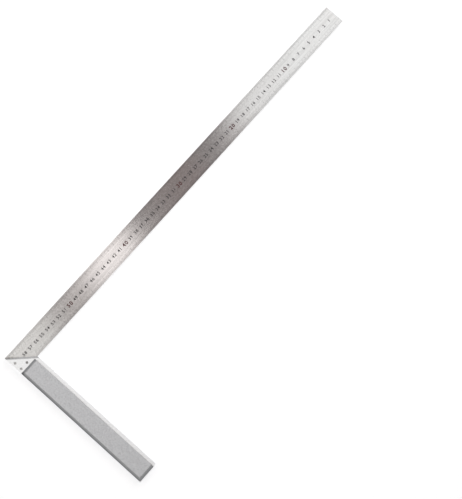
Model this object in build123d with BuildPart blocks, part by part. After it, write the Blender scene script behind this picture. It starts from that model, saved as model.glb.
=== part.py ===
from build123d import *
import os

# L-shaped steel square ruler: a thin graduated blade held at a right angle in the
# slotted head of an aluminium stock by three steel rivets.
#
# Frame: origin at the outer right-angle corner, on the mid-plane of the blade.
#   +X  along the outer edge of the blade, to its free end
#   -Y  along the outer side of the stock
#   +Z  up, out of the numbered face of the blade
# Both reference edges, Y = 0 and X = 0, meet at the origin. Units are millimetres.

os.makedirs("parts", exist_ok=True)

# ---- blade ----------------------------------------------------------------
blade_length = 600.0       # from the outer corner to the free end
blade_width = 28.0
blade_thickness = 1.2
blade_edge_break = 0.15    # small 45 degree break along every long edge
blade_corner_radius = 0.6  # free-end corners

# ---- stock ----------------------------------------------------------------
stock_length = 221.0       # outer corner to the far end, along -Y
stock_width = 28.0
stock_thickness = 12.0     # body, across both flat faces
head_length = 28.0         # thinner slotted head, up to the shoulder
bevel_width = 3.6          # seen square on to the flat face
bevel_depth = 2.4          # drop from the flat face to the side walls
pad_width = 24.0           # raised pad, from the outer side; the rest is a low ledge
outer_corner_radius = 1.0  # far corner on the outer side
inner_corner_radius = 2.5  # far corner of the ledge, on the inner side
face_rim_break = 0.25      # small break round each flat face of the pad
miter_bevel_width = 2.4    # bevel along the cheeks' 45 degree edge, beside the blade
miter_bevel_depth = 1.6
miter_tip_flat = 0.6       # blunt tip of the 45 degree cheeks

# ---- rivets ---------------------------------------------------------------
rivet_diameter = 3.2
rivet_recess = 0.12        # the ends sit a little below the cheeks
rivet_end_dimple = 0.35    # depth of the dimple left by peening
rivet_dimple_diameter = 1.7
rivet_end_chamfer = 0.35
rivet_spots = {
    "rivet_outer_corner": (4.2, -14.0),
    "rivet_outer_shoulder": (4.2, -24.0),
    "rivet_inner_shoulder": (14.3, -24.0),
}

head_thickness = stock_thickness - 2 * bevel_depth   # flush with the ledge and side walls
half_head = head_thickness / 2
half_body = stock_thickness / 2
body_length = stock_length - head_length
body_mid_y = -(head_length + body_length / 2)
miter_slope = miter_bevel_depth / miter_bevel_width

# ---- blade: flat strip, square at both ends ---------------------------------
with BuildPart() as blade:
    with BuildSketch(Plane.XY.offset(-blade_thickness / 2)):
        with Locations((blade_length / 2, -blade_width / 2)):
            Rectangle(blade_length, blade_width)
    extrude(amount=blade_thickness)
    # rounded corners at the free end only
    fillet(
        blade.edges().filter_by(Axis.Z).group_by(Axis.X)[-1],
        radius=blade_corner_radius,
    )
    # broken long edges, top and bottom
    chamfer(
        blade.edges().filter_by(Axis.X).filter_by(
            lambda e: e.length > blade_length / 2
        ),
        length=blade_edge_break,
    )
    # rivet holes
    with Locations(*[(x, y, blade_thickness / 2) for x, y in rivet_spots.values()]):
        Hole(radius=rivet_diameter / 2)
blade.part.label = "blade"

# ---- cutter for the bevel along the cheeks' 45 degree edges --------------------
# its profile stands square to the 45 degree line and is swept along that line,
# out through the ledge's inner side
miter_plane = Plane(
    origin=(-4, 4, 0), x_dir=(-1 / 2**0.5, -1 / 2**0.5, 0), z_dir=(1 / 2**0.5, -1 / 2**0.5, 0)
)
with BuildPart() as miter_relief:
    with BuildSketch(miter_plane):
        for side in (1, -1):
            with BuildLine():
                Polyline(
                    (-1, side * (half_head - miter_bevel_depth - miter_slope)),
                    (miter_bevel_width + 1, side * (half_head + miter_slope)),
                    (-1, side * (half_head + miter_slope)),
                    close=True,
                )
            make_face()
    extrude(amount=60)

# ---- stock: slotted, mitred head, low ledge and raised pad, one piece ---------
with BuildPart() as stock:
    # middle layer: body sides and head together, as thick as the head
    with BuildSketch(Plane.XY.offset(-half_head)):
        with BuildLine():
            Polyline(
                (0, -miter_tip_flat),
                (miter_tip_flat, -miter_tip_flat),
                (stock_width, -head_length),
                (stock_width, -stock_length),
                (0, -stock_length),
                close=True,
            )
        make_face()
    extrude(amount=head_thickness)
    # raised pad on each side: bevels to the outer side, the shoulder and the far end,
    # and a straight wall down to the ledge
    for side in (1, -1):
        with BuildSketch(Plane.XY.offset(side * half_head)):
            with Locations((pad_width / 2, body_mid_y)):
                Rectangle(pad_width, body_length)
        with BuildSketch(Plane.XY.offset(side * half_body)):
            with Locations(((pad_width + bevel_width) / 2, body_mid_y)):
                Rectangle(pad_width - bevel_width, body_length - 2 * bevel_width)
        loft()
    # slot sawn through the head for the blade, down to the shoulder
    with BuildSketch(Plane.XY.offset(-blade_thickness / 2)):
        with Locations((stock_width / 2, -head_length / 2)):
            Rectangle(stock_width + 2, head_length)
    extrude(amount=blade_thickness, mode=Mode.SUBTRACT)
    # eased edges: the two far corners and the rims of the pad's flat faces
    far_corners = stock.edges().filter_by(Axis.Z).group_by(Axis.Y)[0].sort_by(Axis.X)
    fillet(far_corners[0], radius=outer_corner_radius)
    far_corners = stock.edges().filter_by(Axis.Z).group_by(Axis.Y)[0].sort_by(Axis.X)
    fillet(far_corners[-1], radius=inner_corner_radius)
    face_rims = [
        e
        for face in (
            stock.faces().filter_by(Axis.Z).sort_by(Axis.Z)[0],
            stock.faces().filter_by(Axis.Z).sort_by(Axis.Z)[-1],
        )
        for e in face.edges()
    ]
    chamfer(face_rims, length=face_rim_break)
    # bevel along the 45 degree end of each cheek
    add(miter_relief.part, mode=Mode.SUBTRACT)
    # rivet holes through both cheeks
    with Locations(*[(x, y, half_head) for x, y in rivet_spots.values()]):
        Hole(radius=rivet_diameter / 2)
stock.part.label = "stock"

# ---- three steel rivets through cheek, blade and cheek -----------------------
rivet_half_length = half_head - rivet_recess
rivets = {}
for rivet_name, (rx, ry) in rivet_spots.items():
    with BuildPart() as rivet:
        with BuildSketch(Plane.XY.offset(-rivet_half_length)):
            with Locations((rx, ry)):
                Circle(rivet_diameter / 2)
        extrude(amount=2 * rivet_half_length)
        chamfer(rivet.edges().filter_by(GeomType.CIRCLE), length=rivet_end_chamfer)
        # shallow conical dimple in each end
        for side in (1, -1):
            with BuildSketch(Plane.XY.offset(side * rivet_half_length)):
                with Locations((rx, ry)):
                    Circle(rivet_dimple_diameter / 2)
            with BuildSketch(
                Plane.XY.offset(side * (rivet_half_length - rivet_end_dimple))
            ):
                with Locations((rx, ry)):
                    Circle(rivet_dimple_diameter / 4)
            loft(mode=Mode.SUBTRACT)
    rivet.part.label = rivet_name
    rivets[rivet_name] = rivet.part

export_step(blade.part, "parts/blade.step")
export_step(stock.part, "parts/stock.step")
for rivet_name, rivet_part in rivets.items():
    export_step(rivet_part, f"parts/{rivet_name}.step")

for piece in (blade.part, stock.part, *rivets.values()):
    box = piece.bounding_box()
    print(piece.label, "volume", round(piece.volume, 1), "box", box.min, box.max)
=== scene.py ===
import math

import bmesh
import bpy
from mathutils import Matrix, Vector
from mathutils.geometry import delaunay_2d_cdt


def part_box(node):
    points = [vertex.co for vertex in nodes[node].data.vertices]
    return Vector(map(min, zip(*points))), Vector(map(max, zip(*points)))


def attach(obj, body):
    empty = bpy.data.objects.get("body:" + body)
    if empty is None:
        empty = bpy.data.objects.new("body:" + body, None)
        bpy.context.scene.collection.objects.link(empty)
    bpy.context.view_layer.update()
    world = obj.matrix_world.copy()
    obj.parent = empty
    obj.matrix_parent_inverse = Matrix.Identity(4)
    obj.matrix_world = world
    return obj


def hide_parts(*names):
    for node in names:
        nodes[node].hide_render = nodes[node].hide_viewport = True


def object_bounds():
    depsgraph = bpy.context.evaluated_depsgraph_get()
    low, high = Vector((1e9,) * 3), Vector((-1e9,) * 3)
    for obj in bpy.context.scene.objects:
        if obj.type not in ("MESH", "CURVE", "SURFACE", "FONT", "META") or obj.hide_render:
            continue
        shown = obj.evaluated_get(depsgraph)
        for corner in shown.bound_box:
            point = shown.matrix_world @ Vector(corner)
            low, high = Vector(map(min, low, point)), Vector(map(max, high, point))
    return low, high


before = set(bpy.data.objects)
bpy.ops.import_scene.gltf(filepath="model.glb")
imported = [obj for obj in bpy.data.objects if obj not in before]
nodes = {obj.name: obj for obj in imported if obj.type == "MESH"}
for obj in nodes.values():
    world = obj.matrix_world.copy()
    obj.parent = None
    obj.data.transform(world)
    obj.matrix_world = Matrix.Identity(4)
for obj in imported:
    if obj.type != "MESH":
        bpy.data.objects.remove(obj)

cad_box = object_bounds()
scene = bpy.context.scene
MM = 0.001

# ---------------------------------------------------------------- dimensions, from the frame
b_lo, b_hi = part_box("blade")
s_lo, s_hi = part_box("stock")
BLADE_L = b_hi[0] - b_lo[0]           # 0.600
BLADE_W = b_hi[1] - b_lo[1]           # 0.028
TOP = b_hi[2]                         # upper face of the blade
HEAD_L = 28 * MM                      # head, from the outer corner to the shoulder
HALF_HEAD = 3.6 * MM                  # head and side walls: half their thickness
HALF_BODY = s_hi[2]                   # 6 mm
BEVEL = 3.6 * MM                      # the pad's bevels, seen from above
PAD_W = 24 * MM                       # the pad's straight wall above the ledge
STOCK_L = -s_lo[1]


# ---------------------------------------------------------------- small helpers for node trees
def new_material(name):
    mat = bpy.data.materials.new(name)
    mat.use_nodes = True
    nt = mat.node_tree
    nt.nodes.clear()
    out = nt.nodes.new("ShaderNodeOutputMaterial")
    bsdf = nt.nodes.new("ShaderNodeBsdfPrincipled")
    nt.links.new(bsdf.outputs["BSDF"], out.inputs["Surface"])
    return mat, nt, bsdf


class Tree:
    """Short calls that add one node each and return its output socket."""

    def __init__(self, nt):
        self.nt = nt

    def put(self, socket, value):
        if hasattr(value, "is_output"):
            self.nt.links.new(value, socket)
        elif value is not None:
            socket.default_value = value

    def coords(self):
        return self.nt.nodes.new("ShaderNodeTexCoord").outputs["Object"]

    def normal(self):
        return self.nt.nodes.new("ShaderNodeTexCoord").outputs["Normal"]

    def split(self, vec):
        n = self.nt.nodes.new("ShaderNodeSeparateXYZ")
        self.put(n.inputs[0], vec)
        return n.outputs["X"], n.outputs["Y"], n.outputs["Z"]

    def join(self, x, y, z):
        n = self.nt.nodes.new("ShaderNodeCombineXYZ")
        for i, v in enumerate((x, y, z)):
            self.put(n.inputs[i], v)
        return n.outputs[0]

    def math(self, op, a, b=None, c=None, clamp=False):
        n = self.nt.nodes.new("ShaderNodeMath")
        n.operation = op
        n.use_clamp = clamp
        for i, v in enumerate((a, b, c)):
            if v is not None:
                self.put(n.inputs[i], v)
        return n.outputs[0]

    def ramp(self, value, lo, hi, to_lo=0.0, to_hi=1.0, smooth=True):
        n = self.nt.nodes.new("ShaderNodeMapRange")
        n.interpolation_type = "SMOOTHSTEP" if smooth else "LINEAR"
        n.clamp = True
        self.put(n.inputs["Value"], value)
        for key, v in (("From Min", lo), ("From Max", hi), ("To Min", to_lo), ("To Max", to_hi)):
            self.put(n.inputs[key], v)
        return n.outputs["Result"]

    def scale(self, vec, sx, sy, sz, turn=0.0, shift=(0, 0, 0)):
        n = self.nt.nodes.new("ShaderNodeMapping")
        n.vector_type = "POINT"
        self.put(n.inputs["Vector"], vec)
        n.inputs["Location"].default_value = shift
        n.inputs["Rotation"].default_value = (0, 0, turn)
        n.inputs["Scale"].default_value = (sx, sy, sz)
        return n.outputs[0]

    def noise(self, vec, scale=1.0, detail=2.0, rough=0.5, distort=0.0):
        n = self.nt.nodes.new("ShaderNodeTexNoise")
        n.noise_dimensions = "3D"
        self.put(n.inputs["Vector"], vec)
        n.inputs["Scale"].default_value = scale
        n.inputs["Detail"].default_value = detail
        n.inputs["Roughness"].default_value = rough
        n.inputs["Distortion"].default_value = distort
        return n.outputs["Fac"]

    def mix(self, fac, a, b, blend="MIX"):
        n = self.nt.nodes.new("ShaderNodeMix")
        n.data_type = "RGBA"
        n.blend_type = blend
        self.put(n.inputs[0], fac)
        self.put(n.inputs[6], (*a, 1.0) if isinstance(a, tuple) else a)
        self.put(n.inputs[7], (*b, 1.0) if isinstance(b, tuple) else b)
        return n.outputs[2]

    def bump(self, height, strength, distance, normal=None):
        n = self.nt.nodes.new("ShaderNodeBump")
        n.inputs["Strength"].default_value = strength
        n.inputs["Distance"].default_value = distance
        self.put(n.inputs["Height"], height)
        if normal is not None:
            self.put(n.inputs["Normal"], normal)
        return n.outputs[0]

    def tangent(self, axis):
        n = self.nt.nodes.new("ShaderNodeTangent")
        n.direction_type = "RADIAL"
        n.axis = axis
        return n.outputs[0]


# ---------------------------------------------------------------- materials
def blade_material():
    """Stainless strip, brushed along its length: streaks of three widths, fine scratches, handling wear at the edges."""
    mat, nt, bsdf = new_material("blade_brushed_steel")
    t = Tree(nt)
    p = t.coords()
    x, y, z = t.split(p)
    fine = t.noise(t.scale(p, 30, 9000, 9000), detail=2.0, rough=0.6)
    medium = t.noise(t.scale(p, 9, 1700, 1700, shift=(3, 1, 2)), detail=3.0, rough=0.6)
    broad = t.noise(t.scale(p, 4, 240, 240, shift=(7, 5, 1)), detail=2.0, rough=0.5)
    blotch = t.noise(t.scale(p, 12, 30, 30, shift=(1, 9, 4)), detail=3.0, rough=0.55)
    streak = t.math("ADD", t.math("MULTIPLY", fine, 0.45), t.math("MULTIPLY", medium, 0.35))
    streak = t.math("ADD", streak, t.math("MULTIPLY", broad, 0.20))
    # a few stray scratches that cross the grain
    scr = None
    for turn, shift, dens in ((0.45, (2, 3, 1), 0.735), (-0.3, (9, 1, 5), 0.74), (1.15, (5, 8, 2), 0.75)):
        n = t.noise(t.scale(p, 18, 2600, 10, turn=turn, shift=shift), detail=1.0)
        one = t.ramp(n, dens, dens + 0.03)
        scr = one if scr is None else t.math("MAXIMUM", scr, one)
    # long edges: handling rubs them brighter and smoother
    half = BLADE_W / 2
    from_edge = t.math("SUBTRACT", half, t.math("ABSOLUTE", t.math("ADD", y, half)))
    rub = t.ramp(from_edge, 0.0, 0.0012, 1.0, 0.0)
    base = t.mix(t.ramp(streak, 0.36, 0.64), (0.60, 0.598, 0.592), (0.79, 0.788, 0.782))
    base = t.mix(t.ramp(blotch, 0.35, 0.7, 0.0, 0.25), base, (0.74, 0.715, 0.70))
    # specks: small pits and polished spots, more of them by the joint
    speck = t.noise(t.scale(p, 520, 640, 640, shift=(4, 4, 8)), detail=3.0, rough=0.75)
    much = t.math("MINIMUM", t.ramp(x, 20 * MM, 140 * MM, 1.0, 0.75), t.ramp(x, 360 * MM, 560 * MM, 1.0, 0.35))
    base = t.mix(t.math("MULTIPLY", much, t.ramp(speck, 0.30, 0.47, 0.75, 0.0)), base, (0.42, 0.415, 0.41))
    base = t.mix(t.math("MULTIPLY", much, t.ramp(speck, 0.55, 0.70, 0.0, 0.6)), base, (0.90, 0.895, 0.89))
    # darkened along the corner of the 45 degree joint, most towards the outer tip
    off = t.math("MULTIPLY", t.math("ADD", x, y), 0.70711)
    joint_mottle = t.noise(t.scale(p, 330, 330, 330, shift=(6, 3, 2)), detail=3.0, rough=0.65)
    joint_dark = t.math("MULTIPLY", t.ramp(off, 0.3 * MM, 2.2 * MM, 1.0, 0.0), t.ramp(x, 2 * MM, 13 * MM, 1.0, 0.12))
    joint_dark = t.math("MULTIPLY", joint_dark, t.ramp(joint_mottle, 0.36, 0.60, 0.3, 1.0))
    base = t.mix(t.math("MULTIPLY", joint_dark, 0.92), base, (0.13, 0.105, 0.09))
    base = t.mix(t.math("MULTIPLY", scr, 0.35), base, (0.86, 0.86, 0.86))
    base = t.mix(t.math("MULTIPLY", rub, 0.35), base, (0.85, 0.845, 0.84))
    t.put(bsdf.inputs["Base Color"], base)
    bsdf.inputs["Metallic"].default_value = 1.0
    rough = t.ramp(streak, 0.35, 0.65, 0.225, 0.165, smooth=False)
    rough = t.math("ADD", rough, t.ramp(blotch, 0.3, 0.7, -0.01, 0.025))
    rough = t.math("SUBTRACT", rough, t.math("MULTIPLY", rub, 0.03))
    rough = t.math("ADD", rough, t.math("MULTIPLY", much, t.ramp(speck, 0.50, 0.66, 0.0, 0.07)))
    t.put(bsdf.inputs["Roughness"], rough)
    bsdf.inputs["Anisotropic"].default_value = 0.86
    t.put(bsdf.inputs["Tangent"], t.join(0.0, 1.0, 0.0))
    height = t.math("ADD", streak, t.math("MULTIPLY", scr, -0.5))
    t.put(bsdf.inputs["Normal"], t.bump(height, 0.10, 0.00002))
    return mat


def stock_material():
    """Aluminium stock: bead-blasted flat faces, smoother bevels and walls, bright diagonally milled head, rubbed edges."""
    mat, nt, bsdf = new_material("stock_aluminium")
    t = Tree(nt)
    p = t.coords()
    n = t.normal()
    x, y, z = t.split(p)
    nx, ny, nz = t.split(n)
    az = t.math("ABSOLUTE", z)
    # where things are, by position on the part: the blasted pad faces, and the milled head and ledge
    up = t.math("ABSOLUTE", nz)
    flat = t.ramp(up, 0.93, 0.985)
    on_pad = t.ramp(az, 4.6 * MM, 4.9 * MM, smooth=False)
    face = t.math("MULTIPLY", flat, on_pad)
    head = t.math("MULTIPLY", flat, t.math("SUBTRACT", 1.0, on_pad))
    # blasted grain
    grain = t.noise(t.scale(p, 5200, 5200, 5200), detail=2.0, rough=0.7)
    coarse = t.noise(t.scale(p, 900, 900, 900, shift=(3, 2, 1)), detail=2.0, rough=0.6)
    mottle = t.noise(t.scale(p, 85, 60, 85, shift=(5, 2, 7)), detail=4.0, rough=0.6)
    draw = t.noise(t.scale(p, 2600, 22, 2600, shift=(1, 4, 2)), detail=3.0, rough=0.6)
    # milling on the head: fine bands that run parallel to the 45 degree joint
    diag = t.math("MULTIPLY", t.math("ADD", x, y), 0.70711)
    along = t.math("MULTIPLY", t.math("SUBTRACT", x, y), 0.70711)
    warp = t.math("MULTIPLY", t.noise(t.scale(p, 60, 60, 60), detail=1.0), 0.0006)
    mill_at = t.join(t.math("ADD", diag, warp), t.math("MULTIPLY", along, 0.02), 0.0)
    mill = t.noise(t.scale(mill_at, 2200, 2200, 1), detail=3.0, rough=0.65)
    mill_wide = t.noise(t.scale(mill_at, 420, 420, 1, shift=(2, 2, 0)), detail=2.0, rough=0.5)
    # rubbed rims, where the pad's faces meet their bevels and the walls meet the bevels
    rim_x = t.math("MINIMUM", t.math("ABSOLUTE", t.math("SUBTRACT", x, BEVEL)),
                   t.math("ABSOLUTE", t.math("SUBTRACT", x, PAD_W)))
    rim_y = t.math("MINIMUM", t.math("ABSOLUTE", t.math("ADD", y, HEAD_L + BEVEL)),
                   t.math("ABSOLUTE", t.math("ADD", y, STOCK_L - BEVEL)))
    rim = t.math("MINIMUM", rim_x, rim_y)
    high = t.ramp(az, HALF_BODY - 0.0006, HALF_BODY - 0.0002)
    chips = t.noise(t.scale(p, 520, 520, 520, shift=(8, 1, 3)), detail=3.0, rough=0.7)
    rim = t.math("MULTIPLY", t.ramp(rim, 0.0002, 0.0007, 1.0, 0.0), high)
    fold = t.ramp(t.math("ABSOLUTE", t.math("SUBTRACT", az, HALF_HEAD)), 0.0, 0.00035, 1.0, 0.0)
    fold = t.math("MULTIPLY", fold, t.math("SUBTRACT", 1.0, head))
    wear = t.math("MULTIPLY", t.math("MAXIMUM", rim, t.math("MULTIPLY", fold, 0.6)), t.ramp(chips, 0.35, 0.6))

    c_face = t.mix(t.ramp(mottle, 0.35, 0.66), (0.725, 0.742, 0.765), (0.815, 0.834, 0.855))
    speck = t.noise(t.scale(p, 620, 620, 620, shift=(2, 7, 3)), detail=3.0, rough=0.75)
    c_face = t.mix(t.ramp(speck, 0.32, 0.50, 0.8, 0.0), c_face, (0.54, 0.553, 0.57))
    c_face = t.mix(t.ramp(speck, 0.52, 0.70, 0.0, 0.8), c_face, (0.94, 0.96, 0.98))
    c_face = t.mix(t.ramp(grain, 0.3, 0.7, 0.0, 0.35), c_face, (0.62, 0.63, 0.65))
    c_face = t.mix(t.ramp(coarse, 0.4, 0.7, 0.0, 0.25), c_face, (0.84, 0.85, 0.865))
    c_side = t.mix(t.ramp(draw, 0.35, 0.65), (0.74, 0.75, 0.765), (0.84, 0.85, 0.865))
    c_head = t.mix(t.ramp(mill, 0.35, 0.65), (0.925, 0.945, 0.96), (0.965, 0.985, 0.998))
    c_head = t.mix(t.ramp(mill_wide, 0.4, 0.65, 0.0, 0.3), c_head, (0.85, 0.865, 0.88))
    # the bevels are darker towards their feet, more along the long sides than at the ends
    foot = t.ramp(az, HALF_HEAD, HALF_BODY - 0.2 * MM, 1.0, 0.0, smooth=False)
    foot = t.math("MULTIPLY", foot, t.ramp(az, HALF_HEAD - 0.05 * MM, HALF_HEAD + 0.05 * MM))
    foot = t.math("MULTIPLY", foot, t.math("SUBTRACT", 1.0, flat))
    dark_mottle = t.noise(t.scale(p, 420, 140, 420, shift=(9, 2, 6)), detail=3.0, rough=0.6)
    foot = t.math("MULTIPLY", foot, t.ramp(dark_mottle, 0.3, 0.6, 0.7, 1.0))
    ends = t.ramp(t.math("ABSOLUTE", ny), 0.3, 0.5, 0.85, 0.52)
    c_side = t.mix(t.math("MULTIPLY", foot, ends), c_side, (0.36, 0.365, 0.375))
    # a dark spot on the bevels at the pad's outer corner by the shoulder
    cx = t.math("SUBTRACT", x, 0.8 * MM)
    cy = t.math("ADD", y, HEAD_L + 0.8 * MM)
    corner = t.math("SQRT", t.math("ADD", t.math("MULTIPLY", cx, cx), t.math("MULTIPLY", cy, cy)))
    corner = t.math("MULTIPLY", t.ramp(corner, 0.8 * MM, 4.5 * MM, 1.0, 0.0), t.ramp(dark_mottle, 0.3, 0.6, 0.75, 1.0))
    corner = t.math("MULTIPLY", corner, t.ramp(az, HALF_HEAD, HALF_HEAD + 0.3 * MM, smooth=False))
    c_side = t.mix(t.math("MULTIPLY", corner, 0.8), c_side, (0.16, 0.16, 0.165))
    # painted highlight: the bevels and walls are lighter towards the pad's flat faces
    c_side = t.mix(t.ramp(az, HALF_BODY - 1.3 * MM, HALF_BODY - 0.2 * MM, 0.0, 0.55), c_side, (0.95, 0.955, 0.965))
    base = t.mix(face, c_side, c_face)
    base = t.mix(head, base, c_head)
    # darker along the 45 degree joint, heaviest towards the outer tip
    joint = t.math("SUBTRACT", 0.0, diag)
    seam = t.ramp(joint, 0.0, 2.1 * MM, 1.0, 0.0)
    seam = t.math("MULTIPLY", seam, t.ramp(joint, -0.4 * MM, 0.0))
    joint_mottle = t.noise(t.scale(p, 330, 330, 330, shift=(6, 3, 2)), detail=3.0, rough=0.65)
    tip = t.ramp(x, 3 * MM, 14 * MM, 1.0, 0.22)
    seam = t.math("MULTIPLY", t.math("MULTIPLY", seam, tip), t.ramp(joint_mottle, 0.36, 0.62, 0.25, 1.0))
    seam = t.math("MULTIPLY", seam, t.ramp(up, 0.93, 0.97, 1.0, 0.30))
    base = t.mix(t.math("MULTIPLY", seam, 0.88), base, (0.15, 0.125, 0.11))
    base = t.mix(t.math("MULTIPLY", wear, 0.6), base, (0.90, 0.905, 0.91))
    t.put(bsdf.inputs["Base Color"], base)
    bsdf.inputs["Metallic"].default_value = 1.0

    r_face = t.ramp(mottle, 0.3, 0.7, 0.47, 0.54)
    r_side = t.ramp(draw, 0.3, 0.7, 0.33, 0.25)
    r_head = t.ramp(mill, 0.3, 0.7, 0.34, 0.24)
    rough = t.math("ADD", t.math("MULTIPLY", face, r_face),
                   t.math("MULTIPLY", t.math("SUBTRACT", 1.0, face), r_side))
    rough = t.math("ADD", t.math("MULTIPLY", rough, t.math("SUBTRACT", 1.0, head)),
                   t.math("MULTIPLY", head, r_head))
    rough = t.math("SUBTRACT", rough, t.math("MULTIPLY", wear, 0.1))
    t.put(bsdf.inputs["Roughness"], rough)

    h = t.math("MULTIPLY", face, t.math("ADD", t.math("MULTIPLY", grain, 0.5), t.math("MULTIPLY", coarse, 0.5)))
    h = t.math("ADD", h, t.math("MULTIPLY", head, mill))
    h = t.math("ADD", h, t.math("MULTIPLY", t.math("SUBTRACT", 1.0, flat), t.math("MULTIPLY", draw, 0.4)))
    t.put(bsdf.inputs["Normal"], t.bump(h, 0.25, 0.00003))
    return mat


def rivet_material():
    """Peened steel ends: pitted, with lighter spots, and painted shade on the rivet nearest the inner side."""
    mat, nt, bsdf = new_material("rivet_steel")
    t = Tree(nt)
    p = t.coords()
    pits = t.noise(t.scale(p, 2600, 2600, 2600), detail=3.0, rough=0.65)
    spot = t.noise(t.scale(p, 700, 700, 700, shift=(4, 4, 1)), detail=2.0)
    base = t.mix(t.ramp(pits, 0.35, 0.65), (0.58, 0.575, 0.57), (0.76, 0.755, 0.75))
    base = t.mix(t.ramp(spot, 0.45, 0.65, 0.0, 0.5), base, (0.82, 0.815, 0.81))
    x, y, z = t.split(p)
    # painted shade: the rivet nearest the inner side, beyond about x = 10 mm, is darkened
    base = t.mix(t.ramp(x, 9 * MM, 11 * MM, 0.0, 0.6), base, (0.30, 0.295, 0.29))
    t.put(bsdf.inputs["Base Color"], base)
    bsdf.inputs["Metallic"].default_value = 1.0
    t.put(bsdf.inputs["Roughness"], t.ramp(pits, 0.3, 0.7, 0.50, 0.34))
    t.put(bsdf.inputs["Normal"], t.bump(pits, 0.35, 0.00003))
    return mat


def paint_material(name, dark, light):
    """Etch-fill paint: slightly uneven, with rubbed thin spots."""
    mat, nt, bsdf = new_material(name)
    t = Tree(nt)
    p = t.coords()
    wornness = t.noise(t.scale(p, 900, 900, 900), detail=3.0, rough=0.7)
    body = t.noise(t.scale(p, 4200, 4200, 4200, shift=(2, 1, 6)), detail=2.0)
    base = t.mix(t.ramp(body, 0.35, 0.65), dark, light)
    base = t.mix(t.ramp(wornness, 0.62, 0.76, 0.0, 0.35), base, (0.30, 0.29, 0.28))
    t.put(bsdf.inputs["Base Color"], base)
    bsdf.inputs["Metallic"].default_value = 0.0
    t.put(bsdf.inputs["Roughness"], t.ramp(body, 0.3, 0.7, 0.42, 0.58))
    t.put(bsdf.inputs["Normal"], t.bump(body, 0.2, 0.00002))
    return mat


steel = blade_material()
aluminium = stock_material()
rivet_steel = rivet_material()
black = paint_material("scale_black_paint", (0.012, 0.012, 0.014), (0.030, 0.029, 0.030))
red = paint_material("scale_red_paint", (0.075, 0.010, 0.012), (0.125, 0.020, 0.020))


# ---------------------------------------------------------------- the etched blade and its paint
ETCH = 0.06 * MM       # depth of the etched marks
FILL = 0.02 * MM       # how far the paint stays below the steel
TICK_W = 0.17 * MM
TICKS = {10: 5.6 * MM, 5: 4.4 * MM, 1: 3.1 * MM}
MID_Y = -BLADE_W / 2 - 0.35 * MM


def digit_outline(char, height, heavy):
    """One numeral, centred on its own box, in mm: its points, its rim edges and the triangles that fill it."""
    cu = bpy.data.curves.new("digit", "FONT")
    cu.body = char
    cu.size = height / 0.70
    cu.resolution_u = 3
    cu.offset = heavy
    ob = bpy.data.objects.new("digit", cu)
    scene.collection.objects.link(ob)
    bpy.context.view_layer.update()
    me = bpy.data.meshes.new_from_object(ob.evaluated_get(bpy.context.evaluated_depsgraph_get()))
    bm = bmesh.new()
    bm.from_mesh(me)
    bmesh.ops.remove_doubles(bm, verts=bm.verts, dist=2e-6)
    bm.verts.index_update()
    at = [(v.co.x / MM, v.co.y / MM) for v in bm.verts]
    rim = [(e.verts[0].index, e.verts[1].index) for e in bm.edges if len(e.link_faces) == 1]
    fill = [tuple(v.index for v in f.verts) for f in bm.faces]
    bm.free()
    bpy.data.objects.remove(ob)
    bpy.data.curves.remove(cu)
    bpy.data.meshes.remove(me)
    cx = (min(q[0] for q in at) + max(q[0] for q in at)) / 2
    cy = (min(q[1] for q in at) + max(q[1] for q in at)) / 2
    return [(q[0] - cx, q[1] - cy) for q in at], rim, fill


def tick_boxes():
    """Graduations as (x0, x1, y0, y1) in mm. Zero is at the free end; none runs under the cheeks."""
    width, end = BLADE_W / MM, b_hi[0] / MM
    boxes = []
    for k in range(1, 600):
        xk = end - k
        kind = 10 if k % 10 == 0 else 5 if k % 5 == 0 else 1
        length = TICKS[kind] / MM
        half = TICK_W / MM / 2 * (1.25 if kind == 10 else 1.0)
        reach = min(length, xk - 0.9)
        if reach > 0.8:
            boxes.append((xk - half, xk + half, -reach, -0.17))
        if xk > width + 0.9:
            boxes.append((xk - half, xk + half, -width + 0.17, -width + length))
    return boxes


def numerals():
    """Every numeral as (outline, dx, dy, colour) in mm."""
    small = {c: digit_outline(c, 3.9 * MM, 0.085 * MM) for c in "0123456789"}
    large = {c: digit_outline(c, 4.8 * MM, 0.19 * MM) for c in "0123456789"}
    out = []
    for n in range(1, 59):
        tens = n % 10 == 0
        step = 4.3 if tens else 3.35
        for i, ch in enumerate(str(n)):
            # two numerals straddle the graduation; a single one takes the left place
            dx = b_hi[0] / MM - n * 10 + (i - 0.5) * step
            out.append(((large if tens else small)[ch], dx, MID_Y / MM, "red" if tens else "black"))
    return out


def holds(tri, x, y):
    (ax, ay), (bx, by), (cx, cy) = tri
    d1 = (bx - ax) * (y - ay) - (by - ay) * (x - ax)
    d2 = (cx - bx) * (y - by) - (cy - by) * (x - bx)
    d3 = (ax - cx) * (y - cy) - (ay - cy) * (x - cx)
    return (d1 >= 0 and d2 >= 0 and d3 >= 0) or (d1 <= 0 and d2 <= 0 and d3 <= 0)


def finished(name, bm, mat, slot):
    me = bpy.data.meshes.new(name)
    bm.to_mesh(me)
    bm.free()
    ob = bpy.data.objects.new(name, me)
    scene.collection.objects.link(ob)
    for poly in me.polygons:
        poly.use_smooth = False
    if mat is not None:
        me.materials.append(mat)
    if slot is not None:
        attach(ob, "root")
    return ob


# the blade's own mesh without its upper face, which is laid again with the marks let into it
steel_bm = bmesh.new()
steel_bm.from_mesh(nodes["blade"].data)
bmesh.ops.remove_doubles(steel_bm, verts=steel_bm.verts, dist=1e-6)
upper = [f for f in steel_bm.faces if all(abs(v.co.z - TOP) < 1e-7 for v in f.verts)]
upper_set = set(upper)
rim_edges = [e for e in steel_bm.edges if sum(1 for f in e.link_faces if f in upper_set) == 1]
rim_verts = list({v: None for e in rim_edges for v in e.verts})
place = {v: i for i, v in enumerate(rim_verts)}
points = [Vector((v.co.x / MM, v.co.y / MM)) for v in rim_verts]
edges = [(place[e.verts[0]], place[e.verts[1]]) for e in rim_edges]
bmesh.ops.delete(steel_bm, geom=upper, context="FACES_KEEP_BOUNDARY")

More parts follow.
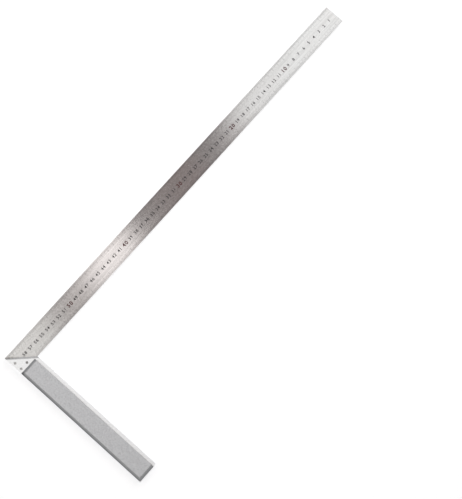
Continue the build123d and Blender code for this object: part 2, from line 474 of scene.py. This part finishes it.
boxes = tick_boxes()
glyphs = numerals()
for x0, x1, y0, y1 in boxes:
    n0 = len(points)
    points += [Vector(q) for q in ((x0, y0), (x1, y0), (x1, y1), (x0, y1))]
    edges += [(n0, n0 + 1), (n0 + 1, n0 + 2), (n0 + 2, n0 + 3), (n0 + 3, n0)]
for (at, rim, fill), dx, dy, colour in glyphs:
    n0 = len(points)
    points += [Vector((q[0] + dx, q[1] + dy)) for q in at]
    edges += [(n0 + i, n0 + j) for i, j in rim]
# even rows of plain points keep the steel's own triangles short
for k in range(3, 60):
    for row in (-8.6, -19.6):
        points.append(Vector((k * 10 + 5.5, row)))
flat_v, flat_e, flat_f, from_v, from_e, from_f = delaunay_2d_cdt(points, edges, [], 0, 1e-5, True)

tick_bins, glyph_bins = {}, {}
for box in boxes:
    tick_bins.setdefault(int(round((box[0] + box[1]) / 2)), []).append(box)
for (at, rim, fill), dx, dy, colour in glyphs:
    tris = []
    for f in fill:
        ring = [(at[i][0] + dx, at[i][1] + dy) for i in f]
        tris += [(ring[0], ring[i], ring[i + 1]) for i in range(1, len(ring) - 1)]
    lo, hi = min(q[0] for t3 in tris for q in t3), max(q[0] for t3 in tris for q in t3)
    for cell in range(int(lo // 5), int(hi // 5) + 1):
        glyph_bins.setdefault(cell, []).append((lo, hi, tris, colour))
rivets_at = []
for name in ("rivet_outer_corner", "rivet_outer_shoulder", "rivet_inner_shoulder"):
    r_lo, r_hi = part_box(name)
    rivets_at.append(((r_lo[0] + r_hi[0]) / 2 / MM, (r_lo[1] + r_hi[1]) / 2 / MM, (r_hi[0] - r_lo[0]) / 2 / MM))


def kind_at(x, y):
    for cx, cy, r in rivets_at:
        if (x - cx) ** 2 + (y - cy) ** 2 < r * r:
            return "hole"
    for x0, x1, y0, y1 in tick_bins.get(int(round(x)), ()):
        if x0 < x < x1 and y0 < y < y1:
            return "black"
    for lo, hi, tris, colour in glyph_bins.get(int(x // 5), ()):
        if lo <= x <= hi and any(holds(tri, x, y) for tri in tris):
            return colour
    return "steel"


kinds = []
side_of = {}
for f in flat_f:
    kinds.append(kind_at(sum(flat_v[i][0] for i in f) / len(f), sum(flat_v[i][1] for i in f) / len(f)))
    for i, j in zip(f, f[1:] + f[:1]):
        side_of[(i, j)] = kinds[-1]

at_top, at_floor = {}, {}


def top_vert(i):
    if i not in at_top:
        own = [k for k in from_v[i] if k < len(rim_verts)]
        at_top[i] = rim_verts[own[0]] if own else steel_bm.verts.new((flat_v[i][0] * MM, flat_v[i][1] * MM, TOP))
    return at_top[i]


def floor_vert(i):
    if i not in at_floor:
        at_floor[i] = steel_bm.verts.new((flat_v[i][0] * MM, flat_v[i][1] * MM, TOP - ETCH))
    return at_floor[i]


for f, kind in zip(flat_f, kinds):
    if kind == "steel":
        steel_bm.faces.new([top_vert(i) for i in f])
    elif kind != "hole":
        steel_bm.faces.new([floor_vert(i) for i in f])
        for i, j in zip(f, f[1:] + f[:1]):
            if side_of.get((j, i)) == "steel":
                steel_bm.faces.new([top_vert(i), top_vert(j), floor_vert(j), floor_vert(i)])
bmesh.ops.triangulate(steel_bm, faces=[f for f in steel_bm.faces if len(f.verts) > 3])
print("blade_etched: faces", len(steel_bm.faces), "edges not shared by two faces",
      sum(1 for e in steel_bm.edges if len(e.link_faces) != 2), "volume mm3", round(steel_bm.calc_volume() * 1e9, 2))
blade = finished("blade_etched", steel_bm, steel, None)
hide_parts("blade")
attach(blade, "root")


def paint_mesh(colour, z0, z1):
    bm = bmesh.new()
    low, high = {}, {}

    def vert(store, i, z):
        if i not in store:
            store[i] = bm.verts.new((flat_v[i][0] * MM, flat_v[i][1] * MM, z))
        return store[i]

    for f, kind in zip(flat_f, kinds):
        if kind != colour:
            continue
        bm.faces.new([vert(high, i, z1) for i in f])
        bm.faces.new([vert(low, i, z0) for i in reversed(f)])
        for i, j in zip(f, f[1:] + f[:1]):
            if side_of.get((j, i)) != colour:
                bm.faces.new([vert(low, i, z0), vert(low, j, z0), vert(high, j, z1), vert(high, i, z1)])
    bmesh.ops.triangulate(bm, faces=[f for f in bm.faces if len(f.verts) > 3])
    return bm


scale_black = finished("scale_marks", paint_mesh("black", TOP - ETCH, TOP - FILL), black, "scale_black")
scale_red = finished("scale_tens", paint_mesh("red", TOP - ETCH, TOP - FILL), red, "scale_red")


# ---------------------------------------------------------------- CAD nodes that keep their shape
def repaint(name, mat):
    me = nodes[name].data
    if not me.materials:
        me.materials.append(mat)
    for i in range(len(me.materials)):
        me.materials[i] = mat


repaint("stock", aluminium)
for name in ("rivet_outer_corner", "rivet_outer_shoulder", "rivet_inner_shoulder"):
    repaint(name, rivet_steel)


# ---------------------------------------------------------------- floor
def floor_material():
    mat, nt, bsdf = new_material("floor_pale")
    t = Tree(nt)
    p = t.coords()
    soft = t.noise(t.scale(p, 3, 3, 3), detail=2.0)
    t.put(bsdf.inputs["Base Color"], t.mix(soft, (0.90, 0.90, 0.90), (0.92, 0.92, 0.92)))
    bsdf.inputs["Roughness"].default_value = 0.9
    bsdf.inputs["Specular IOR Level"].default_value = 0.1
    bsdf.inputs["Emission Color"].default_value = (0.985, 0.99, 1.0, 1)
    bsdf.inputs["Emission Strength"].default_value = 0.55
    return mat


floor_bm = bmesh.new()
bmesh.ops.create_grid(floor_bm, x_segments=1, y_segments=1, size=12.0)
floor = finished("floor", floor_bm, None, None)
floor.location.z = cad_box[0][2]
floor.data.materials.append(floor_material())


# ---------------------------------------------------------------- soft studio light
def softbox(name, centre, aim, width, height, radiance, colour=(1, 1, 1)):
    """A rectangular area light given by its radiance, so its look in the steel doesn't depend on its size."""
    li = bpy.data.lights.new(name, "AREA")
    li.shape = "RECTANGLE"
    li.size, li.size_y = width, height
    li.energy = radiance * math.pi * width * height
    li.color = colour
    ob = bpy.data.objects.new(name, li)
    scene.collection.objects.link(ob)
    c, a = Vector(centre), Vector(aim)
    ob.location = c
    ob.rotation_euler = (a - c).to_track_quat("-Z", "Y").to_euler()
    return ob


def overhead(name, x0, x1, y0, y1, z, radiance, colour=(1, 1, 1)):
    """A panel that lies flat above the floor."""
    li = bpy.data.lights.new(name, "AREA")
    li.shape = "RECTANGLE"
    li.size, li.size_y = x1 - x0, y1 - y0
    li.energy = radiance * math.pi * (x1 - x0) * (y1 - y0)
    li.color = colour
    ob = bpy.data.objects.new(name, li)
    scene.collection.objects.link(ob)
    ob.location = ((x0 + x1) / 2, (y0 + y1) / 2, z)
    return ob


# the ceiling is a row of diffused panels, from left to right: a broad one, a dim gap, a bright strip,
# a dark warm gap and a broad one that brightens outwards
WHITE = (1.0, 1.0, 1.0)
CREAM = (1.0, 0.94, 0.925)
PANELS = [
    (-0.060, -0.010, 0.57, (1.0, 0.94, 0.92)),
    (-0.010, 0.090, 0.45, (1.0, 0.91, 0.885)),
    (0.090, 0.140, 0.66, (1.0, 0.92, 0.90)),
    (0.140, 0.190, 1.13, CREAM),
    (0.190, 0.310, 1.43, CREAM),
    (0.310, 0.360, 1.41, CREAM),
    (0.400, 0.530, 0.30, (1.0, 0.885, 0.865)),
    (0.530, 0.700, 0.275, (1.0, 0.80, 0.78)),
    (0.700, 0.790, 0.26, (1.0, 0.93, 0.92)),
    (0.790, 0.860, 0.32, (1.0, 0.86, 0.84)),
    (0.860, 0.960, 1.03, (1.0, 0.985, 0.98)),
    (0.960, 1.220, 1.09, WHITE),
    (1.220, 2.700, 1.15, WHITE),
]
for i, (x0, x1, radiance, colour) in enumerate(PANELS):
    overhead("panel_%02d" % i, x0, x1, -1.2, 1.8, 2.0, radiance, colour)
# the broad left one falls off behind the stock's far end
overhead("panel_left_front", -1.40, -0.060, -0.32, 1.8, 2.0, 1.00, (1.0, 0.982, 0.96))
overhead("panel_left_back", -1.40, -0.060, -1.2, -0.32, 2.0, 0.45, (1.0, 0.985, 0.97))
softbox("softbox_side", (2.6, 0.35, 1.2), (0, -0.1, 0), 1.6, 1.2, 0.75)
softbox("softbox_corner", (1.29, 1.98, 0.83), (0, 0, 0), 1.2, 0.9, 0.34, (1.0, 0.955, 0.925))

world = bpy.data.worlds.new("studio")
scene.world = world
world.use_nodes = True
wn = world.node_tree
wn.nodes.clear()
w_out = wn.nodes.new("ShaderNodeOutputWorld")
w_light = wn.nodes.new("ShaderNodeBackground")
w_light.inputs["Color"].default_value = (1.0, 1.0, 1.0, 1)
# the walls give light and the ceiling between the panels is dark
w_dir = wn.nodes.new("ShaderNodeTexCoord")
w_split = wn.nodes.new("ShaderNodeSeparateXYZ")
w_ramp = wn.nodes.new("ShaderNodeMapRange")
w_ramp.interpolation_type = "SMOOTHSTEP"
wn.links.new(w_dir.outputs["Generated"], w_split.inputs[0])
wn.links.new(w_split.outputs["Z"], w_ramp.inputs["Value"])
for key, v in (("From Min", 0.50), ("From Max", 0.78), ("To Min", 0.30), ("To Max", 0.02)):
    w_ramp.inputs[key].default_value = v
wn.links.new(w_ramp.outputs["Result"], w_light.inputs["Strength"])
w_seen = wn.nodes.new("ShaderNodeBackground")
w_seen.inputs["Color"].default_value = (1.0, 1.0, 1.0, 1)
w_seen.inputs["Strength"].default_value = 1.0
w_path = wn.nodes.new("ShaderNodeLightPath")
w_mix = wn.nodes.new("ShaderNodeMixShader")
wn.links.new(w_path.outputs["Is Camera Ray"], w_mix.inputs[0])
wn.links.new(w_light.outputs[0], w_mix.inputs[1])
wn.links.new(w_seen.outputs[0], w_mix.inputs[2])
wn.links.new(w_mix.outputs[0], w_out.inputs[0])

scene.view_settings.view_transform = "Standard"
scene.view_settings.look = "None"
scene.view_settings.exposure = 0.0
scene.view_settings.gamma = 1.0

# ---------------------------------------------------------------- camera
cam_data = bpy.data.cameras.new("camera")
cam = bpy.data.objects.new("camera", cam_data)
scene.collection.objects.link(cam)
cam_data.sensor_fit = "AUTO"
cam_data.sensor_width = 36.0
cam_data.lens = 946.7 * 36.0 / 499.0
cam_data.clip_start, cam_data.clip_end = 0.01, 60.0
cam_data.dof.use_dof = False
ax = Vector((0.6607936, -0.7503634, 0.0175102)).normalized()
back = Vector((-0.1244655, -0.0865423, 0.9884426)).normalized()
up = back.cross(ax).normalized()
ax = up.cross(back)
cam.matrix_world = Matrix((
    (ax.x, up.x, back.x, 0.13571),
    (ax.y, up.y, back.y, -0.21821),
    (ax.z, up.z, back.z, 1.15713),
    (0, 0, 0, 1),
))
scene.camera = cam
